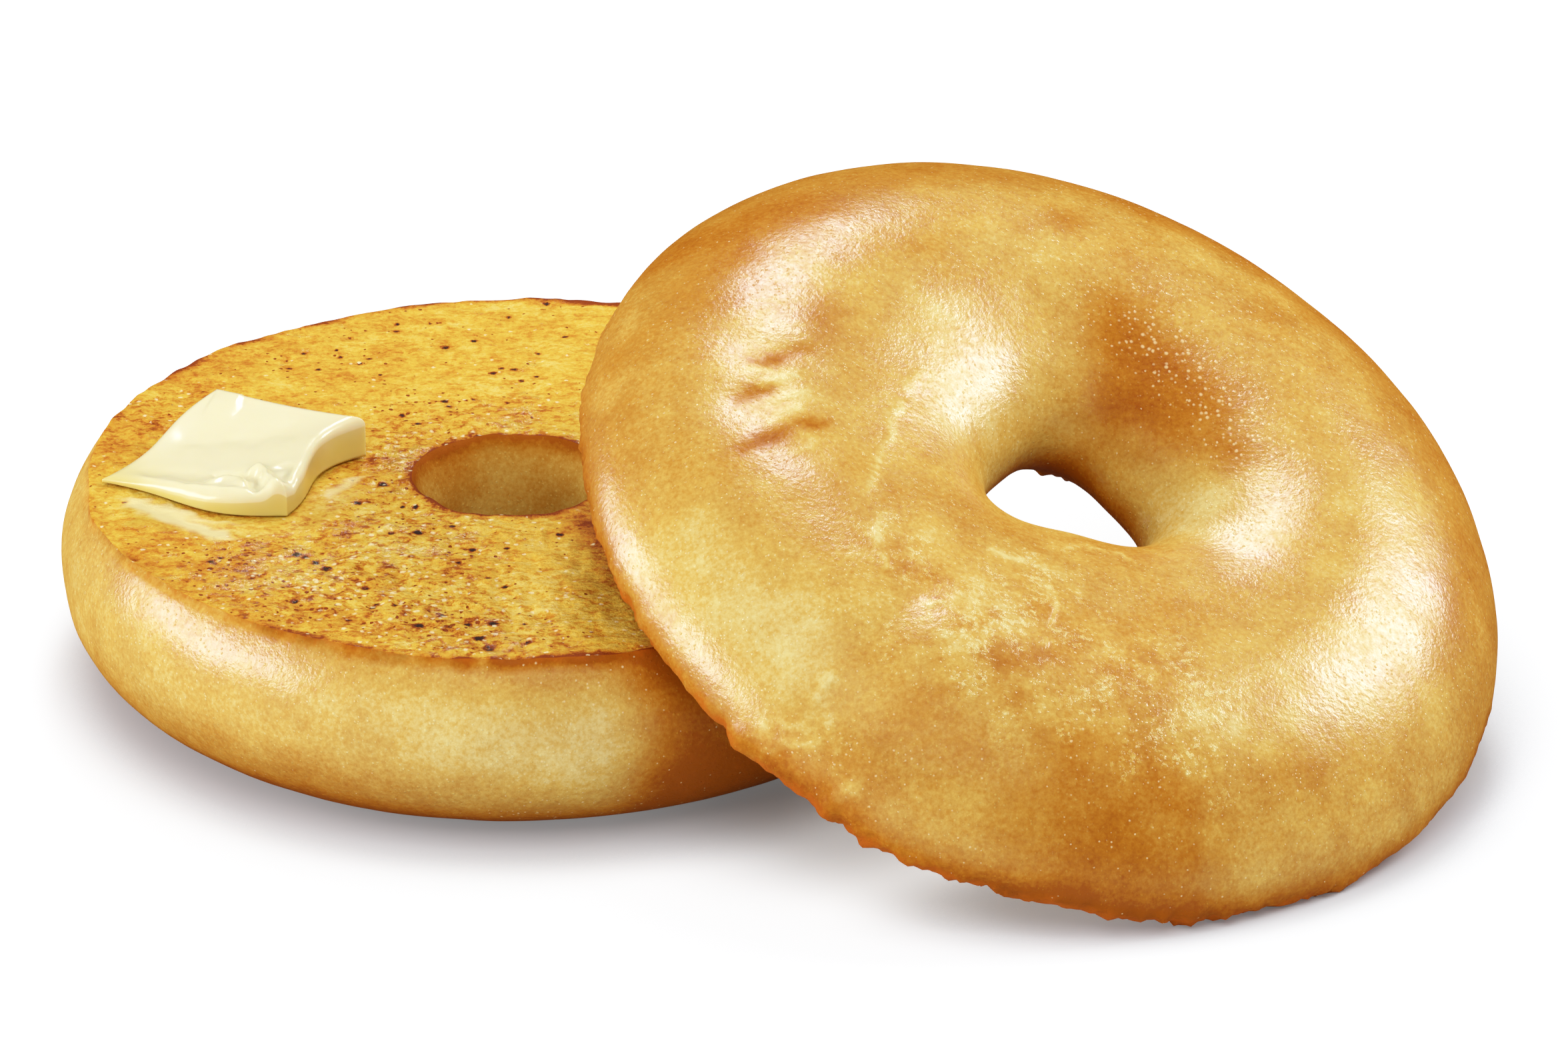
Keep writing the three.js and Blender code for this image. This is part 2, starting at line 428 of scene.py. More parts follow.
def new_group(name, inputs, output, kind="Float"):
    """An empty shader group with its inputs, given as name: default, and its one output."""
    group = bpy.data.node_groups.new(name, "ShaderNodeTree")
    for label, default in inputs.items():
        socket_type = "NodeSocketColor" if isinstance(default, tuple) else "NodeSocketFloat"
        socket = group.interface.new_socket(label, in_out="INPUT", socket_type=socket_type)
        socket.default_value = default
    group.interface.new_socket(output, in_out="OUTPUT", socket_type="NodeSocket" + kind)
    given = group.nodes.new("NodeGroupInput").outputs
    return group, given, group.nodes.new("NodeGroupOutput").inputs[output]


def use_group(tree, group, **inputs):
    """The outputs of a group whose inputs are given with _ for each space in their names."""
    named = {label.replace("_", " "): value for label, value in inputs.items()}
    return add(tree, "ShaderNodeGroup", named, node_tree=group).outputs


GREY = (0.5, 0.5, 0.5, 1.0)


def baked_colour_group():
    """Colour of baked dough by how far it is toasted: pale at 0, then gold, amber, brown and dark at
    each further third, then charred. Mottles of three sizes are added to the toasting first."""
    shades = ("Pale", "Gold", "Amber", "Brown", "Dark")
    inputs = {"Toast": 0.5, "Mottle": 0.2, "Grain": 0.2, "Char": 0.0,
              **{shade: GREY for shade in shades}, "Char Color": GREY}
    tree, given, out = new_group("baked colour", inputs, "Color", "Color")
    coarse = total(tree, noise(tree, 4, 3.0, 0.6), (noise(tree, 1.2, 2.0, 0.6), 0.8))
    fine = noise(tree, 0.28, 2.0, 0.7)
    toast_and_shade = total(tree, given["Toast"], (coarse, given["Mottle"]), (fine, given["Grain"]))
    colour = given["Pale"]
    for i, shade in enumerate(shades[1:]):
        bounds = {"Value": toast_and_shade, "From Min": i / 3, "From Max": (i + 1) / 3}
        share = add(tree, "ShaderNodeMapRange", bounds).outputs["Result"]
        colour = blend(tree, share, colour, given[shade])
    colour = blend(tree, given["Char"], colour, given["Char Color"])
    tree.links.new(colour, out)
    return tree


def spot_group():
    """Small spots: one in each random cell of a given size, where the cell's own random number is
    under the density. Their mask is the smooth step of the distance from the cell's middle, to which
    fine noise is added for a ragged outline."""
    inputs = {"Density": 0.3, "Cell mm": 1.4, "Radius": 0.3, "Ragged": 0.0}
    tree, given, out = new_group("spots", inputs, "Mask")
    place = add(tree, "ShaderNodeTexCoord").outputs["Object"]
    scale = calc(tree, "DIVIDE", 1 / MM, given["Cell mm"])
    cells = add(tree, "ShaderNodeTexVoronoi", {"Vector": place, "Scale": scale})
    chance = add(tree, "ShaderNodeSeparateColor", {0: cells.outputs["Color"]}).outputs[0]
    present = calc(tree, "LESS_THAN", chance, given["Density"])
    size = times(tree, given["Radius"], total(tree, chance, 0.5))
    ragged = (noise(tree, 0.3, 2.0, 0.6), given["Ragged"])
    reach = calc(tree, "DIVIDE", total(tree, cells.outputs["Distance"], ragged), size)
    tree.links.new(times(tree, step(tree, reach, 1.0, 0.3), present), out)
    return tree


def wisp_group():
    """Short pale wisps of lifted, flaky skin: where a fine noise is high, kept in the clouds of a
    broader noise, which are wider where the amount is larger."""
    tree, given, out = new_group("wisps", {"Amount": 0.5}, "Mask")
    fine = step(tree, noise(tree, 0.42, 3.0, 0.75), 0.0, 0.14)
    cloud = total(tree, noise(tree, 2.2, 3.0, 0.7), (given["Amount"], 0.22))
    cloud = times(tree, step(tree, cloud, 0.06, 0.3), step(tree, given["Amount"], 0.0, 0.3))
    tree.links.new(times(tree, fine, cloud), out)
    return tree


def grain_group():
    """Height of fine grain: small hills about a third of a millimetre across on softer dimples."""
    tree, given, out = new_group("skin grain", {"Grain": 1.0, "Dimples": 1.0}, "Height")
    grain = (noise(tree, 0.3, 2.0, 0.6), given["Grain"])
    dimples = (noise(tree, 1.3, 1.0), given["Dimples"])
    tree.links.new(total(tree, grain, dimples), out)
    return tree


BAKED_COLOUR = baked_colour_group()
SPOTS = spot_group()
WISPS = wisp_group()
SKIN_GRAIN = grain_group()


def start_material(name):
    material = bpy.data.materials.new(name)
    material.use_nodes = True
    tree = material.node_tree
    return material, tree, tree.nodes["Principled BSDF"]


def baked_colour(tree, colours, toast_and_shade, char, mottle, grain):
    inputs = {"Toast": toast_and_shade, "Char": char, "Mottle": mottle, "Grain": grain}
    return use_group(tree, BAKED_COLOUR, **inputs, **colours)["Color"]


def spot_mask(tree, density, cell, radius, ragged):
    inputs = {"Density": density, "Cell_mm": cell, "Radius": radius, "Ragged": ragged}
    return use_group(tree, SPOTS, **inputs)["Mask"]


def crust_material(name, colours):
    """Baked skin: mottled gold with fine pale dots, blisters lightened partly as painted glint, wisps,
    fine grain and a soft shine that is weaker where the skin is torn."""
    material, tree, skin = start_material(name)
    torn_share = attribute(tree, "torn")
    flaky = attribute(tree, "flaky")
    baked = attribute(tree, "toast_and_shade")
    blister = spot_mask(tree, attribute(tree, "blister"), cell=0.66, radius=0.36, ragged=0.3)
    dots = spot_mask(tree, 0.45, cell=0.5, radius=0.42, ragged=0.4)
    wisp = use_group(tree, WISPS, Amount=flaky)["Mask"]
    uneven = (flaky, times(tree, noise(tree, 1.6, 2.0, 0.6), 1.2))
    toast_and_shade = total(tree, baked, uneven, (wisp, -0.5), (dots, -0.2))
    colour = baked_colour(tree, colours, toast_and_shade, attribute(tree, "scorch"), mottle=0.42, grain=0.75)
    # Red of the torn low edge, partly painted shade near the floor and beside the upper half.
    red_edge_and_shade = total(tree, attribute(tree, "red_edge_and_shade"), noise(tree, 0.8, 3.0, 0.7))
    colour = blend(tree, step(tree, red_edge_and_shade, 0.2, 1.0, 0.0, 0.9), colour, RED_EDGE_AND_SHADE)
    # Blisters lightened: partly their paler skin, partly painted glint.
    colour = blend(tree, times(tree, blister, 0.6), colour, BLISTER_AND_GLINT)
    grain = use_group(tree, SKIN_GRAIN, Grain=0.9, Dimples=0.25)["Height"]
    height = total(tree, grain, (blister, 0.4), (wisp, 0.6), (dots, 0.5))
    normal = bumped(tree, height, CRUST_RELIEF)
    rough = total(tree, (noise(tree, 3.0), 0.25), (torn_share, 0.3), 0.42)
    facing = add(tree, "ShaderNodeLayerWeight", {"Blend": 0.35}).outputs["Facing"]
    patchy = step(tree, total(tree, noise(tree, 0.45, 3.0, 0.7), noise(tree, 4)), -0.3, 0.25, 0.3, 1.0)
    coat = times(tree, step(tree, facing, 0.82, 0.3), step(tree, torn_share, 0.6, 0.1))
    coat = times(tree, times(tree, coat, patchy), step(tree, baked, 1.1, 0.6, 0.1, 1.0))
    feed(tree, skin, {"Base Color": colour, "Roughness": rough, "Normal": normal,
                      "Specular IOR Level": 0.04, "Coat Weight": coat, "Coat Normal": normal,
                      "Coat Roughness": 0.24, "Coat IOR": 1.8})
    return material


def crumb_material(name, colours):
    """Toasted crumb: pores and streaks, dark red specks and scorched spots, glints of soaked-in butter,
    some of them painted as small pale dots, and a smooth film of melted butter, cream where it is thick."""
    material, tree, crumb = start_material(name)
    granular = attribute(tree, "granular")
    melted = attribute(tree, "melted")
    film = step(tree, total(tree, melted, (noise(tree, 1.0, 2.0, 0.6), 0.5)), 0.25, 0.65)
    cream_noise = noise(tree, 1.2, 3.0, 0.6, (0.5, 1, 1))
    cream = total(tree, attribute(tree, "cream"), (cream_noise, 0.6))
    cream = step(tree, cream, 0.25, 0.9, 0.0, 0.85)
    pore_noise = noise(tree, 0.5, 3.0, 0.75, (0.75, 1, 1))
    pores = step(tree, pore_noise, 0.06, -0.16)
    streaks = noise(tree, 0.6, 2.0, 0.6, (0.45, 1, 1))
    specks = spot_mask(tree, attribute(tree, "specks"), cell=0.9, radius=0.36, ragged=0.7)
    ragged = total(tree, attribute(tree, "char"), (noise(tree, 0.25, 2.0, 0.6), 0.45))
    char = step(tree, ragged, 0.82, 0.93)
    halo = step(tree, ragged, 0.68, 0.86)
    dark_pores = (times(tree, pores, granular), 0.8)
    toast_and_shade = total(tree, attribute(tree, "toast_and_shade"), dark_pores, (streaks, 0.5), (specks, 2.0),
                  (film, -0.1), (halo, 0.7))
    colour = baked_colour(tree, colours, toast_and_shade, char, mottle=0.65, grain=0.9)
    # Small pale dots painted as glints of soaked-in butter.
    glint_share = times(tree, total(tree, granular, -0.3), 0.7)
    painted_glints = spot_mask(tree, glint_share, cell=1.0, radius=0.5, ragged=0.9)
    colour = blend(tree, times(tree, painted_glints, 0.75), colour, PAINTED_BUTTER_GLINT)
    colour = blend(tree, cream, colour, MELTED_CREAM)
    grain = use_group(tree, SKIN_GRAIN, Grain=0.8, Dimples=0.8)["Height"]
    crumbs = total(tree, (pore_noise, 1.6), (streaks, 1.3), (specks, -0.4))
    height = total(tree, grain, (crumbs, total(tree, granular, 0.25)))
    height = times(tree, height, step(tree, film, 1.0, 0.0, 0.12, 1.0))
    normal = bumped(tree, height, CRUMB_RELIEF)
    wet = total(tree, noise(tree, 1.3, 3.0, 0.65), (attribute(tree, "wet"), 0.3))
    wet = calc(tree, "MAXIMUM", step(tree, wet, 0.08, 0.32), film)
    rough = step(tree, wet, 0.0, 1.0, 0.6, 0.4)
    feed(tree, crumb, {"Base Color": colour, "Roughness": rough, "Normal": normal,
                       "Specular IOR Level": 0.08, "Coat Weight": wet, "Coat Normal": normal,
                       "Coat Roughness": 0.13, "Coat IOR": 1.6})
    return material


def butter_material(name):
    """Soft butter: pale on top, richer yellow where it is thin, and richer yellow down its sides as painted
    shade; glossy.
    """
    material, tree, butter = start_material(name)
    richness_and_shade = total(tree, attribute(tree, "richness_and_shade"), (noise(tree, 4), 0.35))
    colour = blend(tree, step(tree, richness_and_shade, -0.1, 1.0), PALE_BUTTER, RICH_BUTTER)
    normal = bumped(tree, noise(tree, 2.0), BUTTER_RELIEF)
    feed(tree, butter, {"Base Color": colour, "Roughness": 0.35, "Normal": normal,
                        "Subsurface Weight": 0.35, "Subsurface Scale": 1.5 * MM,
                        "Subsurface Radius": (1.0, 0.7, 0.3), "Coat Weight": 0.8, "Coat Roughness": 0.14})
    return material


CRUST_RELIEF, CRUMB_RELIEF, BUTTER_RELIEF = 0.075, 0.2, 0.12  # depth of the finest relief
CRUST_COLOURS = {
    "Pale": (0.70, 0.54, 0.20, 1),
    "Gold": (0.59, 0.354, 0.068, 1),
    "Amber": (0.475, 0.212, 0.026, 1),
    "Brown": (0.385, 0.125, 0.008, 1),
    "Dark": (0.28, 0.064, 0.003, 1),
    "Char_Color": (0.06, 0.016, 0.005, 1),
}
CRUMB_COLOURS = {
    "Pale": (0.72, 0.52, 0.12, 1),
    "Gold": (0.66, 0.40, 0.042, 1),
    "Amber": (0.56, 0.255, 0.02, 1),
    "Brown": (0.44, 0.125, 0.008, 1),
    "Dark": (0.22, 0.035, 0.003, 1),
    "Char_Color": (0.03, 0.012, 0.008, 1),
}
MELTED_CREAM = (0.78, 0.66, 0.32, 1)
PAINTED_BUTTER_GLINT = (0.86, 0.72, 0.40, 1)  # pale dots painted on the crumb as glints of soaked-in butter
PALE_BUTTER = (0.81, 0.73, 0.44, 1)
RICH_BUTTER = (0.66, 0.52, 0.13, 1)
RED_EDGE_AND_SHADE = (0.43, 0.088, 0.005, 1)  # the torn low edge's red, also painted as shade near the floor and beside the upper half
BLISTER_AND_GLINT = (0.82, 0.62, 0.30, 1)
golden_crust = crust_material("golden crust", CRUST_COLOURS)
toasted_crumb = crumb_material("toasted crumb", CRUMB_COLOURS)
soft_butter = butter_material("soft butter")

# ---- marks on the upper crust, in plan round the upper half's own middle ----
CREASES = [  # path, width, depth
    ([(-40.5, 3), (-37.1, 2.9), (-35.4, 4.2), (-33.4, 5.8), (-30.2, 6.8)], 1.0, 0.07),
    ([(-41.5, -4.6), (-39.1, -2.9), (-37.5, -1.7), (-35.3, -1.4)], 1.1, 0.05),
    ([(-34.4, -7), (-32.6, -6), (-31, -5.5), (-28.6, -5.3)], 0.9, 0.07),
    ([(-40, -12), (-37, -9.7), (-35, -8.3), (-33.4, -6.8)], 1.1, 0.05),
]
RIDGES = [  # lifted skin beside the creases: path, width, height
    ([(-38.6, -0.9), (-37.3, -0.6), (-35.4, 0.5), (-33.9, 1.9), (-32.5, 3)], 0.6, 0.08),
    ([(-37.4, -4), (-36.2, -3.3), (-33.3, -1.9), (-31.5, 0)], 0.6, 0.07),
    ([(-33.7, -10.9), (-31.9, -10), (-30.7, -7.8)], 0.6, 0.06),
    ([(-36.6, -6.6), (-34.6, -4.6), (-31.6, -2.6)], 0.6, 0.06),
    ([(-40.4, 0.8), (-38.2, 1), (-36.2, 1.8)], 0.6, 0.05),
]
LONG_CRACKS = [  # thin raised lines of flaky skin: paths
    [(-17.6, 9.8), (-19.5, 6.3), (-20.7, 3.2), (-21.5, -0.4), (-22.1, -3.9), (-22.7, -7.4),
     (-23.8, -11.3), (-24.4, -14.4), (-25, -18.7)],
    [(-21.9, -16.4), (-23.1, -18.7), (-23.1, -21.3), (-21.8, -23.4), (-21.6, -26.7), (-20.8, -28.4)],
    [(-16.9, -29.4), (-13.8, -29), (-13.4, -27.5)],
    [(-12.6, -33.3), (-11.4, -34.9), (-9.5, -34.5)],
    [(-9.9, -17.3), (-7.5, -18.1), (-4.8, -18.5), (-3.2, -19.7)],
    [(-3.4, -21.2), (-2.5, -23.2), (-1.7, -25.5), (-2.1, -27.9), (-3.2, -29.4)],
    [(-3.6, -33), (-2.8, -31.4)],
]
CRACKS = [(path, 0.4, 0.12) for path in LONG_CRACKS] + [  # path, width, height
    ([(-0.5, -13.4), (2.2, -11.4), (6.1, -11.9), (8.9, -14.2)], 0.4, 0.1),
    ([(-25.3, -38.9), (-26.4, -40.5), (-27.2, -41.8), (-26.6, -42.4)], 0.8, 0.3),
    ([(-26.2, -43), (-25.1, -44.7), (-24.9, -45.8), (-23.7, -47.3), (-22, -49), (-20.4, -50.4),
      (-20.9, -51.3)], 0.45, 0.14),
    ([(-32.8, -42.4), (-30.2, -43.3), (-28.1, -43.7), (-26, -44)], 0.5, 0.1),
    ([(-31.6, -44.1), (-29.7, -44.7), (-26.5, -45.5), (-25.2, -45.8)], 0.5, 0.1),
]
TORN_BITS = [  # x, y, reach, amount: where the torn edge stands out or in
    (-23.4, -49.8, 1.5, 0.9), (-21.2, -50.6, 0.9, -0.5), (-33.8, -42.4, 1.6, 0.7), (-36.2, -40.4, 1.2, -0.3),
    (-30, -46.2, 1.5, 0.35), (-12, -54.5, 2, 0.3), (10, -55, 2.5, 0.4), (19, -52.5, 1.5, 0.35),
]
UPPER_TOAST = [  # x, y, reach, amount
    (9.5, 14, 6, 0.5), (14.5, 12, 5, 0.38), (6, 21.5, 4.5, 0.5), (3.5, 26, 3.5, 0.3), (11, 20, 4, 0.2),
    (4, -13, 5, 0.12), (-14, 5, 4, -0.12), (-18, 18, 5, -0.1), (-34, 30, 6, 0.1), (-44, 22, 5, 0.1),
    (-54, -4, 4, 0.1), (4, 14, 3.5, 0.35), (19, 7.5, 3.2, 0.3), (16, 16, 4, 0.15), (9, 27, 4, 0.1),
    (-12, 13, 8, -0.2), (-15, 0, 6, -0.08), (17, -4, 6, -0.22), (25, -2, 6, -0.08), (30, 12, 7, -0.05),
    (-32, -37, 7, -0.33), (-40, -31, 6, -0.2), (-47, -20, 5, -0.15), (-25, -43, 5, -0.12),
    (36, -28, 10, -0.16), (20, -38, 7, -0.15), (42, -10, 8, -0.14), (38, 8, 8, -0.08),
    (0, -47, 11, 0.14), (-14, -44, 6, 0.12), (10, -50, 8, 0.08), (-50, 26, 8, 0.1), (-42, 33, 8, 0.12),
    (-42, 12, 6, 0.1), (-38, -12, 5, 0.12), (-40, 24, 7, 0.06), (-24, 30, 9, 0.04), (-28, -24, 6, 0.06),
    (-3, 37, 2.4, 0.32), (-8, 34, 2, 0.16), (-1, 40, 3, 0.14), (8, 44, 6, 0.08), (30, 30, 8, 0.06),
    (-4, -26.3, 2.2, 0.34), (0.2, -31.6, 2.4, 0.3), (6.9, -33.7, 3, 0.2), (-17.5, -25.5, 2.8, 0.28),
    (-7.5, -36, 2.6, 0.28), (-3.5, -33.5, 2.2, 0.22), (-17.3, -43, 3, 0.14), (12.4, -31.8, 3, 0.12),
    (-12, -29, 2.6, -0.2), (-7.5, -31, 2, -0.16), (-19.5, -20.5, 2.6, -0.12), (-13.5, -34.5, 2.2, -0.1),
    (-36.2, 3.6, 1.6, 0.3), (-31.5, -5.8, 1.4, 0.25), (-38.3, -2.4, 1.8, 0.2), (-36, -9, 2, 0.2),
    (6, -53, 9, 0.3), (16, -51, 7, 0.2), (-31.5, 9, 3, 0.16), (-30, 14, 3, 0.12),
    (-34, -2, 3, -0.14), (-38, 8, 4, -0.1),
    (-29, -45.5, 3, 0.22), (-24, -48.4, 2.6, 0.28), (-20, -51, 3, 0.2), (-44, -24, 6, -0.14),
    (-42, -2, 9, -0.08), (14, 2, 5, -0.2), (46, -22, 8, -0.16), (12, -20, 4, 0.16), (4, -24, 4, 0.1),
]
UPPER_BLISTERS = [
    (7, 24, 5, 0.7), (12, 20, 5, 0.7), (17, 14, 5, 0.7), (22, 9, 5, 0.65), (26, 4, 5, 0.4),
    (10, -38, 12, 0.3), (20, 34, 12, 0.3), (36, 10, 12, 0.3), (-20, -46, 8, 0.25), (0, 46, 14, 0.2),
]
UPPER_FLAKES = [
    (-12, -31, 9, 0.9), (-22, -22, 6, 0.6), (-34, -2, 6, 0.5), (8, -34, 9, 0.6), (-2, -20, 7, 0.5),
    (-20, 0, 5, 0.3), (16, -40, 10, 0.5), (-38, 14, 7, 0.3), (-6, -42, 9, 0.4),
]
DULL_PATCHES = [(-35, -2, 5, 0.3), (-33, -9, 5, 0.3), (-37, 4, 3, 0.3)]  # less shine round the creases
FRONT, LEFT = np.radians([-85, -135])  # directions round the upper half


def marks_on(points, paths, fray, seed):
    """For each (path, width, height): the height times a bell curve of the distance from the path,
    which fades at both ends and is shaken by `fray` millimetres. Returns their sum and the
    strongest mark without its height."""
    push, strongest = np.zeros(points.shape[:-1]), np.zeros(points.shape[:-1])
    shaken = points + fray * soft_noise(points, 1.8, seed)[..., None]
    for path, width, height in paths:
        gap, along = path_gap(shaken, path)
        mark = np.exp(-((gap / width) ** 2)) * smooth(np.minimum(along, 1 - along) * 5 + 0.15)
        push += height * mark
        strongest = np.maximum(strongest, mark)
    return push, strongest


def upper_surface():
    """The upper half: its smooth grid, pushed along its outward directions by soft hills, creases,
    cracks and crumbs, with how far each point is toasted, with painted shade added to that,
    and how far it is scorched, blistered, flaky or torn."""
    half = UPPER
    grid = half_grid(half)
    is_crust = crust_share(half, grid)
    x, y, z = np.moveaxis(grid, -1, 0)
    radius = np.hypot(x, y)
    top = ramp(z, 1, 5) * is_crust
    push = layered_noise(grid, (0.25, 24, 1), (0.1, 7, 2), (0.025, 2.5, 3)) * is_crust
    crease_push, crease = marks_on(grid, CREASES, 0.7, 4)
    ridge_push, ridge = marks_on(grid, RIDGES, 0.7, 4)
    crack_push, crack = marks_on(grid, CRACKS, 0.7, 5)
    broken = smooth(0.75 + soft_noise(grid, 1.5, 6))
    push += top * (ridge_push - crease_push + 1.1 * crack_push * broken)
    push += (1 - is_crust) * layered_noise(grid, (0.18, 3, 7), (0.14, 1.3, 8))
    outside = radius > CORE_RADIUS
    angle = np.arctan2(y, x)
    towards_front = 0.5 + 0.5 * np.cos(angle - FRONT)
    towards_left = 0.5 + 0.5 * np.cos(angle - LEFT)
    near_hole = edge_nearness(half, grid, 2.5, -1)
    low_wall = ramp(z, 5.2, 2.6) * is_crust
    low_rim = outside * np.maximum(edge_nearness(half, grid, 2.5, 0), low_wall)
    rough_edge = layered_noise(grid, (0.35, 4.5, 9), (0.27, 1.9, 11), (0.4, 1.0, 12))
    rough_edge *= 0.45 + 1.1 * smooth(0.5 + soft_noise(grid, 9, 13))
    ragged = 0.25 + 0.75 * np.maximum(towards_front, 0.7 * towards_left)
    push += low_rim * ragged * (rough_edge + spots(grid, TORN_BITS)) + 0.9 * near_hole * rough_edge
    points = grid + push[..., None] * outward(grid)

    # Rim ring darker, strongest towards the back: partly baked colour, partly painted shade where the rim
    # turns away.
    rim = 0.22 + 0.2 * np.cos(angle - np.radians(60))
    toast_and_shade = 0.48 + rim * ramp(radius, 41, 48) + spots(grid, UPPER_TOAST)
    front = smooth(towards_front * 1.5 - 0.3)
    # Darker low edge, most in front near the floor: partly toasted, partly painted shade.
    toast_and_shade += outside * ramp(z, 7.5, 2.5) * (0.12 + 0.55 * front)
    # Darker on the far wall of the hole, low down: painted shade. Darker at the hole's cut edge: toasted.
    toast_and_shade += ~outside * ramp(z, 8.5, 3.5) * 0.8 * ramp(y, -6, 4) + 0.5 * near_hole
    toast_and_shade += layered_noise(grid, (0.1, 9, 21), (0.12, 4, 22))
    # Creases darker as painted shade and ridges paler as painted highlight; cracks paler as flaky skin.
    toast_and_shade += top * (0.42 * crease - 0.25 * ridge) - 0.42 * crack * broken * is_crust
    crumb = 0.45 + 0.2 * soft_noise(grid, 6, 23)
    low_band = ramp(z - soft_noise(grid, 3, 25), 4.6, 1) * is_crust
    marks = {
        "toast_and_shade": np.where(is_crust > 0, toast_and_shade, crumb),
        "scorch": 0.15 * low_rim * smooth(soft_noise(grid, 3, 24) * 2),
        "red_edge_and_shade": outside * low_band * (0.1 + 0.95 * front),
        "blister": (0.15 + spots(grid, UPPER_BLISTERS)) * top,
        "flaky": spots(grid, UPPER_FLAKES) * top,
        "torn": np.clip(low_rim + spots(grid, DULL_PATCHES), 0, 1),
        "granular": 0.6,
        "specks": 0.12,
    }
    return points, marks


# ---- marks on the lower half's cut face, in plan round its own middle ----
CHAR_SPOTS = {  # reach: places
    0.4: [(-29, 34), (-23, 37), (-17.5, 29.5), (1.6, 50), (-12, 45.5), (-11, 45.7), (-2, 21), (0.8, -40),
          (-46, -9), (-30, -30.5), (-26.5, -33)],
    0.45: [(-21.5, 41), (-27, 36), (-13.5, -10)],
    0.5: [(-16, 45.5), (-16, 43), (1.3, 36.2), (4.5, 41.5), (-28.5, 31.5), (-25, 31), (-22.5, 35),
          (-19, 34.5), (-20, 33), (-3, 31.5), (-0.5, 27.5), (1.2, 29), (-2.5, 47.5), (-6, 22), (-9, 20),
          (-14.5, 17), (-12.5, 14.5), (-7.5, -15.5), (-14.5, -17.5), (-1, -22), (-6.5, -26), (-1, -32.5),
          (-3, -30), (-12, -10), (-7, -44), (1.5, -43), (-15.5, -37.5), (-16, -38.5), (-13.5, -38),
          (2, -48.5), (-34, -25), (-35, -28), (-18.5, -42)],
    0.6: [(-6.5, 40), (-4, 30), (-1.5, 31.2), (2, 52), (-9.5, 21.5), (5, -18), (-5, -22), (-18.8, -9),
          (-24.2, -24.8), (-8, -41), (-5, -43), (-17, -33.5), (-35, -26), (-25, -37)],
    0.7: [(-10, 38.5), (-23, -26)],
    0.8: [(-11.5, -17.5), (-16, -3.5), (-25.2, -24), (-21.7, -27.8), (-2, -43.5), (-2.5, -49.5), (3, 9)],
    0.9: [(-10.5, -43.5), (-3.5, -47.5), (-5, 10.6), (4.5, 6.5)],
}
SPECK_PATCHES = [  # here and below: x, y, reach, amount
    (-34, -27, 7, 0.4), (-25, -36, 8, 0.4), (-8, -44, 9, 0.45), (-18, -8, 5, 0.4), (-12, 18, 6, 0.4),
    (-30, 30, 14, 0.06), (-6, -20, 9, 0.25), (-44, -12, 4, 0.3), (-30, -22, 5, 0.3), (-40, 24, 8, 0.1),
]
GRANULAR_PATCHES = [
    (-20, -30, 16, 0.6), (0, -45, 14, 0.5), (-10, -12, 12, 0.4), (-14, 8, 9, 0.5), (-2, 16, 9, 0.35),
    (-44, 18, 9, 0.3),
]
WET_PATCHES = [
    (-28, -28, 10, 0.8), (-12, -18, 10, 0.5), (-13, 2, 7, 0.8), (0, -46, 10, 0.5), (0, 15, 8, 0.5),
]
CRUMB_TOAST = [
    (-46, 12, 9, 0.22), (-38, 30, 8, 0.2), (-26, 24, 8, 0.04), (-38, -28, 9, 0.18), (-20, -42, 9, 0.12),
    (-6, -48, 5, 0.05), (-18, 2, 5, 0.14), (-6, 38, 16, -0.06), (-2, 24, 9, -0.08), (0, -36, 12, -0.14),
    (-8, -18, 8, -0.1), (-42, -22, 5, 0.12), (16, -30, 5, 0.1),
]
MELTED_BUTTER = [  # path, width, height
    ([(-46, -7), (-43, -13), (-37, -16.5), (-30, -17.5), (-25, -14), (-22, -8), (-19.5, -2)], 3.0, 0.16),
]
CREAM_STREAKS = [  # path, width, strength
    ([(-47, -6.5), (-45, -9), (-41, -13.5), (-36, -17.6), (-31, -20.4)], 1.5, 0.95),
    ([(-43, -9), (-39, -12.5), (-34, -15.5), (-30, -16.5)], 0.9, 0.55),
    ([(-23, -9), (-20.5, -4), (-19, -0.5)], 1.4, 0.7),
]


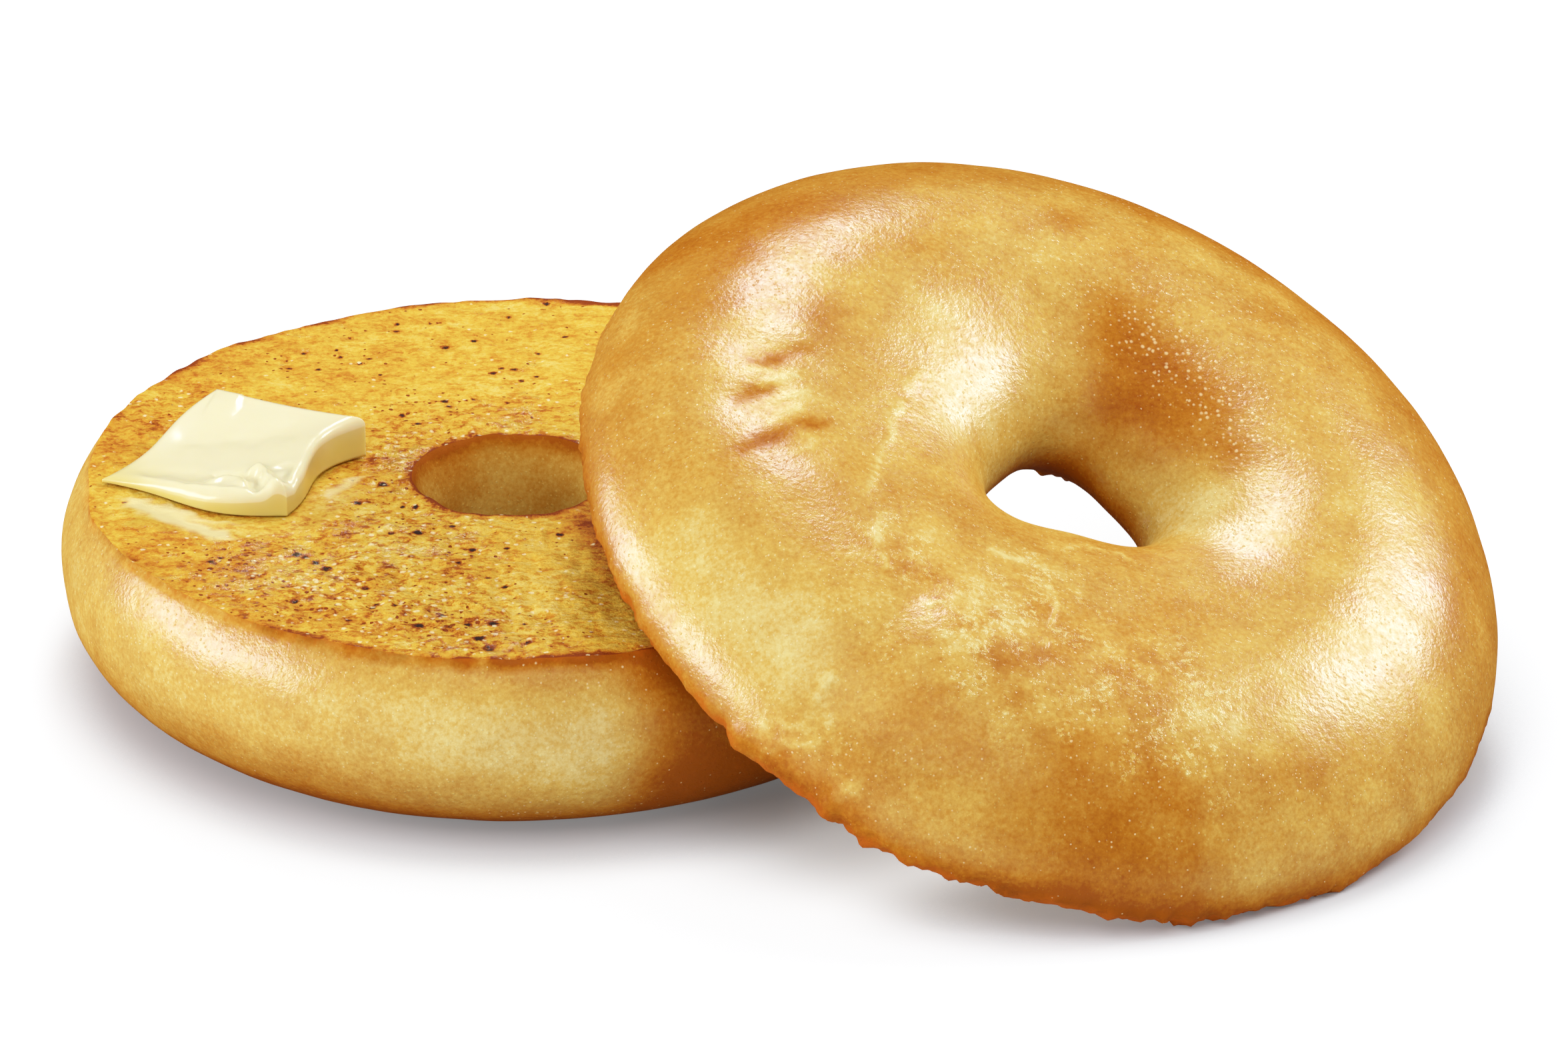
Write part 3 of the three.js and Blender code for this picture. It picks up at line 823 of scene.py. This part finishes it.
def lower_surface():
    """The lower half: as the upper one, with crumbs, pits and melted butter over its cut face."""
    half = LOWER
    grid = half_grid(half)
    is_crust = crust_share(half, grid)
    is_cut = 1 - is_crust
    seen = grid * [1, -1, 1]  # plan of the cut face once it is turned up
    x, y, z = np.moveaxis(seen, -1, 0)
    outside = np.hypot(x, y) > CORE_RADIUS
    granular = np.clip(0.4 + spots(seen, GRANULAR_PATCHES), 0, 1)
    char = np.zeros(z.shape)
    for reach, places in CHAR_SPOTS.items():
        for spot_x, spot_y in places:
            gap = np.hypot(x - spot_x, y - spot_y)
            char = np.maximum(char, is_cut * np.exp(-((gap / (1.8 * reach)) ** 2)))
    film_push, film = marks_on(seen, MELTED_BUTTER, 1.2, 30)
    cream_push = marks_on(seen, CREAM_STREAKS, 0.8, 48)[0]
    push = layered_noise(grid, (0.25, 24, 31), (0.1, 7, 32), (0.025, 2.5, 33)) * is_crust
    crumbs = 0.1 * soft_noise(grid, 5, 34) + 0.1 * soft_noise(grid * [0.4, 1, 1], 1.1, 35)
    crumbs += granular * layered_noise(grid, (0.16, 2.2, 36), (0.2, 1.2, 45))
    crumbs -= 0.25 * granular * smooth((soft_noise(grid, 1.5, 46) - 0.3) / 0.3) + 0.15 * char
    push += is_cut * (crumbs * (1 - 0.85 * smooth(2 * film)) + film_push)
    near_edge = edge_nearness(half, grid, 1.8, 0)
    near_hole = edge_nearness(half, grid, 1.5, -1)
    push += (near_edge + near_hole) * layered_noise(grid, (0.26, 3.2, 37), (0.12, 1.6, 38))
    points = grid + push[..., None] * outward(grid)

    left = ramp(x, 30, -30)
    # Painted shade on the side beside the leaning upper half.
    shade_near_upper_half = ramp(x, 9, 21) * ramp(y, 0, -12)
    # Darker towards the bottom and the left edge: partly toasting, partly painted shade. Darker just under
    # the rim.
    toast_and_shade = 0.03 + 0.42 * ramp(z, 10, 19) + 0.9 * ramp(z, 17, 23) + 0.34 * left
    toast_and_shade += 0.75 * ramp(z, 6, 0) * (1 - 0.8 * left) + 1.2 * shade_near_upper_half
    # The hole's wall is painted darker as shade, darker still at its cut edge and towards the left.
    hole_wall_shade = 0.5 + 0.5 * ramp(z, 2.5, 0) + 0.25 * ramp(x, -4, -10)
    hole_wall_shade += 0.2 * soft_noise(grid, 6, 47)
    toast_and_shade = np.where(outside, toast_and_shade, hole_wall_shade)
    toast_and_shade += layered_noise(grid, (0.09, 10, 39), (0.06, 4, 40))
    crumb = 0.3 + spots(seen, CRUMB_TOAST) + 0.12 * soft_noise(grid, 5, 41)
    crumb += granular * 0.2 * soft_noise(grid, 1.6, 44)
    # Painted shade on the crumb beside and under the leaning upper half.
    crumb += 0.7 * ramp(x + 0.35 * y, -2, 3) * ramp(y, -6, -16)
    toast_and_shade = np.where(is_crust > 0, toast_and_shade, crumb)
    far_left = ramp(x, -22, -36) * ramp(y, 32, 24)
    front_rim = np.exp(-(((x + 10) / 15) ** 2)) * (y < 0)
    edge_toast = 0.2 + 0.4 * smooth(1.2 * (1 - left)) + 0.7 * smooth(2 * soft_noise(grid, 4, 42))
    edge_toast += front_rim * (0.3 + 0.8 * soft_noise(grid, 2.2, 49))
    toast_and_shade += near_edge * edge_toast * (1 - 0.85 * far_left)
    toast_and_shade += 0.5 * near_hole + 0.12 * is_cut * np.sqrt(char) + 0.08 * is_cut
    blistered = 0.1 + 0.3 * ramp(x, -8, 4) * (1 - 0.7 * shade_near_upper_half)
    marks = {
        "toast_and_shade": toast_and_shade,
        "scorch": 0.25 * near_edge * smooth(soft_noise(grid, 2.5, 43) * 2),
        "red_edge_and_shade": (0.5 * near_edge + 0.25 * shade_near_upper_half) * outside * is_crust,
        "blister": blistered * outside * is_crust,
        "torn": np.where(outside, near_edge, 1.0),
        "granular": granular,
        "specks": (0.13 + 1.25 * spots(seen, SPECK_PATCHES)) * is_cut * (1 - film),
        "char": char,
        "melted": film * is_cut,
        "cream": cream_push * is_cut,
        "wet": spots(seen, WET_PATCHES) * is_cut,
    }
    return points, marks


def stand_lower(points):
    """Turned over, so that the cut face is up, and moved to its place."""
    turned = points * [1, -1, -1] + [0, 0, LOWER["height"]]
    return turned + LOWER_PLACE


def lean_matrix():
    """The turn that takes straight up to the upper half's leaning axis by the shortest way."""
    lean = np.array([np.cos(LEAN_TOWARDS) * np.sin(LEAN), np.sin(LEAN_TOWARDS) * np.sin(LEAN), np.cos(LEAN)])
    return np.array(Vector((0, 0, 1)).rotation_difference(Vector(lean)).to_matrix())


def stand_upper(points):
    """Leant over and moved to its place."""
    return points @ lean_matrix().T + UPPER_PLACE


def keep_in_box(points):
    """Nothing stands out of the CAD model's box or below the table."""
    low, high = np.array(cad_box[0]) / MM, np.array(cad_box[1]) / MM
    return np.clip(points, low, high)


MARKS = ("toast_and_shade", "scorch", "red_edge_and_shade", "blister", "flaky", "torn",
         "granular", "specks", "char", "melted", "cream", "wet")  # a mark that isn't given is 0


def half_piece(name, half, surface, stand):
    """A half as one mesh in its place, with crust and crumb on its faces and a value for each mark."""
    points, given = surface()
    rows, columns = points.shape[:2]
    faces = closed_faces(rows, columns)
    cut = np.repeat(np.arange(rows) >= sum(half["rows"].values()), columns)
    world = keep_in_box(stand(points)).reshape(-1, 3)
    marks = {label: np.broadcast_to(given.get(label, 0.0), (rows, columns)) for label in MARKS}
    piece = new_object(name + "_baked", world, faces, [golden_crust, toasted_crumb], cut, marks)
    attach(piece, "root")
    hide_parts(name)


half_piece("lower_half", LOWER, lower_surface, stand_lower)
half_piece("upper_half", UPPER, upper_surface, stand_upper)

# ---- the pat of butter ----
PAT = {
    "corners": np.array([(-48.9, -3.6), (-36.2, 13.4), (-18.3, 4.1), (-26.8, -13.6)]),
    "thickness": (0.6, 5.2, 5.3, 3.5),
    "bows": ((-0.2, -0.6), (-0.5, 0), (-1.8, -0.8), (2, 0.9)),
    "side": 22,
    "sag": 0.7,
    "roundness": 1.3,
    "gap": 0.3,
}
PAT_FOLDS = [  # path, width, height of the ridges and dents where it has softened
    ([(-31, -6), (-29.4, -9.6), (-28.6, -12.2), (-27.4, -14.8)], 0.8, 1.0),
    ([(-32.4, -6.6), (-31, -9.6), (-30, -13.4)], 0.8, -0.6),
    ([(-28, -6.6), (-27, -9.8), (-26.2, -13)], 0.8, -0.4),
    ([(-36.4, -9.4), (-34.6, -8.6), (-32.8, -9.4), (-31.4, -11.8)], 0.7, 0.4),
    ([(-36, -7.4), (-34, -7), (-32.4, -8)], 0.8, -0.3),
    ([(-45.5, -4.6), (-41, -8), (-36.5, -10.6), (-32, -12.6)], 0.9, 0.3),
    ([(-45, -3), (-40, -5.6), (-36, -7.6)], 1.2, -0.2),
    ([(-41.8, 4.2), (-37, 2.4), (-31, 1.4), (-25, 2)], 2.4, -0.3),
    ([(-37, 10), (-35, 9.4), (-33, 9)], 2.2, 0.3),
    ([(-19.5, 2.6), (-23, -1.2), (-24.6, -5.5), (-25.6, -9)], 0.9, 0.25),
]
PAT_STEPS = 110
PAT_WALL_STEPS = 14


def pat_plan(a, b):
    """Plan of the pat: a blend of its four corners, carried out by its bowed sides, which are a
    half and a whole sine wave along each side."""
    corners = PAT["corners"]
    a, b = np.broadcast_arrays(a, b)
    thin, back, thick, front = corners
    near = mix(thin, back, a[..., None])
    far = mix(front, thick, a[..., None])
    plan = mix(near, far, b[..., None])
    along_side = (a, b, 1 - a, 1 - b)
    near_side = (1 - b, a, b, 1 - a)
    for i, (middle, quarter) in enumerate(PAT["bows"]):
        side = corners[(i + 1) % 4] - corners[i]
        side = side / np.linalg.norm(side)
        outwards = np.array([-side[1], side[0]])
        bow = middle * np.sin(np.pi * along_side[i]) + quarter * np.sin(TURN * along_side[i])
        plan = plan + (bow * near_side[i])[..., None] * outwards
    return plan


def pat_top(a, b, plan):
    """Height of the pat's top: a blend of the thickness at its corners, sagging in the middle, with
    its folds added, and rounded down to its sides by a quarter of a circle."""
    thin, back, thick, front = PAT["thickness"]
    full = mix(mix(thin, back, a), mix(front, thick, a), b)
    full = full - PAT["sag"] * 16 * a * (1 - a) * b * (1 - b)
    flat = np.concatenate([plan, 0 * plan[..., :1]], -1)
    full = full + marks_on(flat, PAT_FOLDS, 0.5, 50)[0] * np.minimum(1, full / 2)
    from_side = np.minimum(np.minimum(a, 1 - a), np.minimum(b, 1 - b)) * PAT["side"]
    inwards = np.minimum(1, from_side / PAT["roundness"])
    return full - np.minimum(PAT["roundness"], 0.6 * full) * (1 - np.sqrt(1 - (1 - inwards) ** 2))


def pat_piece():
    """The pat as a closed mesh: a top and an underside, whose rims are joined by walls."""
    n = PAT_STEPS
    t = 0.5 - 0.5 * np.cos(np.pi * np.arange(n + 1) / n)
    a, b = np.meshgrid(t, t, indexing="ij")
    plan = pat_plan(a, b)
    height = pat_top(a, b, plan)
    top = np.concatenate([plan, height[..., None]], -1)
    under = np.concatenate([plan, 0 * height[..., None]], -1)
    number = np.arange((n + 1) ** 2).reshape(n + 1, n + 1)
    rim = np.concatenate([number[:-1, 0], number[-1, :-1], number[:0:-1, -1], number[0, :0:-1]])
    quads = np.stack([number[:-1, :-1], number[:-1, 1:], number[1:, 1:], number[1:, :-1]], -1).reshape(-1, 4)
    top_points, under_points = top.reshape(-1, 3), under.reshape(-1, 3)
    levels = np.arange(1, PAT_WALL_STEPS) / PAT_WALL_STEPS
    walls = mix(top_points[rim][None], under_points[rim][None], levels[:, None, None])
    points = np.concatenate([top_points, under_points, walls.reshape(-1, 3)])
    rings = [rim] + [2 * (n + 1) ** 2 + k * len(rim) + np.arange(len(rim)) for k in range(len(levels))]
    rings.append(rim + (n + 1) ** 2)
    wall_quads = [np.stack([p, np.roll(p, -1), np.roll(q, -1), q], -1) for p, q in zip(rings[:-1], rings[1:])]
    faces = np.concatenate([quads, (quads + (n + 1) ** 2)[:, ::-1], *wall_quads])
    place = points + LOWER_PLACE + [0, 0, LOWER["height"] + PAT["gap"]]
    thinness = ramp(height.ravel(), 2.5, 0)
    # Down the walls the yellow deepens as painted shade.
    wall_shade = np.repeat(mix(0.6, 1.2, levels), len(rim))
    richness_and_shade = np.concatenate([0.7 * thinness, 1 + 0 * thinness, wall_shade])
    piece = new_object("soft_butter_pat", keep_in_box(place), faces, [soft_butter], None, {"richness_and_shade": richness_and_shade})
    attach(piece, "root")
    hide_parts("butter_pat")


pat_piece()

# ---- floor, light and camera ----
FLOOR_CORNERS = 3000.0 * np.array([(-1, -1, 0), (1, -1, 0), (1, 1, 0), (-1, 1, 0)])
FLOOR_SEEN = (0.54, 0.565, 0.595, 1)  # its colour to the camera
FLOOR_BOUNCE = (0.86, 0.885, 0.91, 1)  # and for the light that it throws back
FLOOR_GLOW = 0.8
NOOK_REACH = 0.015
SKY_REACH = 0.07
RIGHT_SIDE = (0.02, 0.09)  # the shade grows over these distances from the middle
NOTCH = (0.005, -0.034, 0.0)  # on the floor, where the two halves meet in front
NOTCH_REACH = (0.026, 0.004)
SKY_LIGHT = 0.35
SKY_SHINE = -0.33  # added to the light of the sky for shine
SKY_SEEN = 1.5
WHITE_LEVEL = 1.4
SHOULDER = ((0.5, 0.5), (0.8, 0.74), (1.0, 0.86), (1.2, 0.95))  # brightness, and as it is shown
SOFTBOXES = {  # azimuth, elevation, distance, width, height, brightness, whether it shines
    "back": (86, 53, 0.8, 0.22, 0.2, 11.0, True),
    "top": (76, 69, 0.8, 0.22, 0.2, 11.0, True),
    "right": (17, 33, 0.8, 0.32, 0.36, 11.5, True),
    "left": (-174, 11, 0.8, 0.75, 0.3, 7.5, True),
    "front": (-95, 50, 1.0, 0.7, 0.6, 4.7, False),
    "low": (-125, 8, 1.0, 0.7, 0.25, 1.5, False),
}


def occlusion(tree, reach):
    """How open the sky is over a place: 1 where nothing stands within reach."""
    return add(tree, "ShaderNodeAmbientOcclusion", {"Distance": reach}).outputs["AO"]


def floor_piece():
    """A white floor that glows a little to the camera. Its glow is dimmed as painted shadow: in the nook
    under the bagel's rim, and where the bagel hides the sky on its right side and in the notch between the
    halves."""
    material, tree, surface = start_material("pale floor")
    place = add(tree, "ShaderNodeTexCoord").outputs["Object"]
    on_right = step(tree, add(tree, "ShaderNodeSeparateXYZ", {0: place}).outputs["X"], *RIGHT_SIDE)
    from_notch = add(tree, "ShaderNodeVectorMath", {0: place, 1: NOTCH}, operation="DISTANCE")
    in_notch = step(tree, from_notch.outputs["Value"], *NOTCH_REACH, 0.0, 0.6)
    hiding = step(tree, occlusion(tree, SKY_REACH), 1.0, 0.5, 0.0, 0.95)
    hidden = times(tree, calc(tree, "MAXIMUM", on_right, in_notch), hiding)
    nook = step(tree, occlusion(tree, NOOK_REACH), 0.35, 0.82, 0.22, 1.0)
    openness = times(tree, nook, calc(tree, "SUBTRACT", 1.0, hidden))
    seen = add(tree, "ShaderNodeLightPath").outputs["Is Camera Ray"]
    glow = times(tree, seen, times(tree, openness, FLOOR_GLOW))
    feed(tree, surface, {"Base Color": blend(tree, seen, FLOOR_BOUNCE, FLOOR_SEEN), "Roughness": 1.0,
                         "Specular IOR Level": 0.0, "Emission Color": (1, 1, 1, 1),
                         "Emission Strength": glow})
    floor = new_object("floor", FLOOR_CORNERS, np.array([[0, 1, 2, 3]]), [material])
    floor.visible_glossy = False


def softbox(name, azimuth, elevation, distance, width, height, brightness, shines):
    """A rectangle of light that faces the bagel from an azimuth, counted from +X, and an elevation.
    Its power is its brightness times its area times pi. One that doesn't shine leaves no highlight."""
    light = bpy.data.lights.new(name, "AREA")
    light.shape = "RECTANGLE"
    light.size, light.size_y = width, height
    light.energy = brightness * width * height * np.pi
    az, el = np.radians([azimuth, elevation])
    direction = Vector((np.cos(el) * np.cos(az), np.cos(el) * np.sin(az), np.sin(el)))
    lamp = bpy.data.objects.new(name, light)
    lamp.location = AIM + direction * distance
    lamp.rotation_euler = direction.to_track_quat("Z", "Y").to_euler()
    lamp.visible_glossy = shines
    bpy.context.scene.collection.objects.link(lamp)


def white_world():
    """White to the camera, soft grey light on surfaces, and fainter still in their shine."""
    world = bpy.data.worlds.new("white studio")
    bpy.context.scene.world = world
    world.use_nodes = True
    tree = world.node_tree
    light = tree.nodes["Background"]
    path = add(tree, "ShaderNodeLightPath").outputs
    lit = total(tree, SKY_LIGHT, (path["Is Glossy Ray"], SKY_SHINE))
    strength = calc(tree, "MAXIMUM", lit, times(tree, path["Is Camera Ray"], SKY_SEEN))
    feed(tree, light, {"Color": (1, 1, 1, 1), "Strength": strength})


def camera():
    """Looks at the aim from in front and above, level from side to side."""
    lens = bpy.data.cameras.new("camera")
    lens.lens, lens.sensor_width, lens.sensor_fit = LENS, SENSOR, "HORIZONTAL"
    lens.clip_start, lens.clip_end = CLIP
    eye = bpy.data.objects.new("camera", lens)
    eye.location = AIM + Vector((0, -np.cos(CAMERA_PITCH), np.sin(CAMERA_PITCH))) * CAMERA_DISTANCE
    eye.rotation_euler = (np.pi / 2 - CAMERA_PITCH, 0, 0)
    bpy.context.scene.collection.objects.link(eye)
    bpy.context.scene.camera = eye


def soft_shoulder():
    """A view that eases bright values up to white, as film does: a curve from black through its
    straight part to white at a brightness a little over 1."""
    view = bpy.context.scene.view_settings
    view.view_transform = "Standard"
    view.use_curve_mapping = True
    curves = view.curve_mapping
    curves.white_level = (WHITE_LEVEL, WHITE_LEVEL, WHITE_LEVEL)
    combined = curves.curves[3]
    for level, shown in SHOULDER:
        combined.points.new(level / WHITE_LEVEL, shown)
    curves.update()


floor_piece()
for side, settings in SOFTBOXES.items():
    softbox(side + " softbox", *settings)
white_world()
camera()
soft_shoulder()
